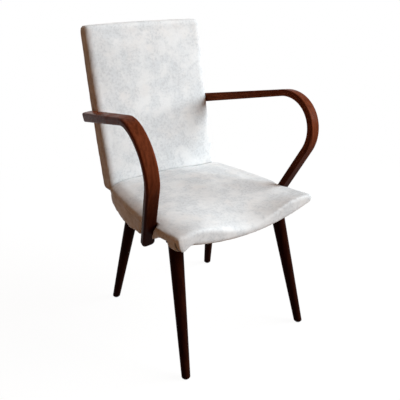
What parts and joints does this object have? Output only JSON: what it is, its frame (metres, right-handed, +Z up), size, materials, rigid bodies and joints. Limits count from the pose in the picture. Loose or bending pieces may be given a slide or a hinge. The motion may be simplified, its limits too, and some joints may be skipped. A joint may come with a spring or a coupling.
{
  "type": "bridge chair",
  "caption": "Upholstered armchair with a tall padded back, a crowned seat, bentwood arm loops and splayed turned legs.",
  "frame": {"origin": "on the floor, below the middle of the chair's overall width and depth", "axes": "+X to the right as seen from the front, +Y from the front edge of the seat to the back, +Z up"},
  "size_m": [0.56, 0.5417, 0.8807],
  "materials": {
    "cloth": "woven, mottled",
    "padding": "felted",
    "stained_wood": "satin lacquer",
    "frame_wood": "planed",
    "plywood": "raw",
    "bracket_steel": "satin",
    "fastener_steel": "satin",
    "glide_steel": "polished"
  },
  "bodies": {
    "root": {"seat_cover": "cloth", "back_cover": "cloth", "back_rear_cover": "cloth", "seat_pad": "padding", "back_pad": "padding", "arm_left": "stained_wood", "arm_right": "stained_wood", "front_leg_left": "stained_wood", "front_leg_right": "stained_wood", "rear_leg_left": "stained_wood", "rear_leg_right": "stained_wood", "side_rail_left": "frame_wood", "side_rail_right": "frame_wood", "rear_rail": "frame_wood", "front_leg_bearer": "frame_wood", "rear_leg_bearer": "frame_wood", "back_stile_left": "frame_wood", "back_stile_right": "frame_wood", "back_top_rail": "frame_wood", "back_arm_rail": "frame_wood", "back_bottom_rail": "frame_wood", "rail_dowels": "frame_wood", "back_dowels": "frame_wood", "seat_panel": "plywood", "back_panel": "plywood", "back_rear_board": "plywood", "bracket_left": "bracket_steel", "bracket_right": "bracket_steel", "arm_seat_bolts": "fastener_steel", "arm_back_bolts": "fastener_steel", "arm_seat_washers": "fastener_steel", "arm_back_washers": "fastener_steel", "arm_seat_spacers": "fastener_steel", "arm_back_spacers": "fastener_steel", "arm_seat_inserts": "fastener_steel", "arm_back_inserts": "fastener_steel", "bracket_screws": "fastener_steel", "panel_screws": "fastener_steel", "front_glide_left": "glide_steel", "front_glide_right": "glide_steel", "rear_glide_left": "glide_steel", "rear_glide_right": "glide_steel"}
  },
  "joints": []
}
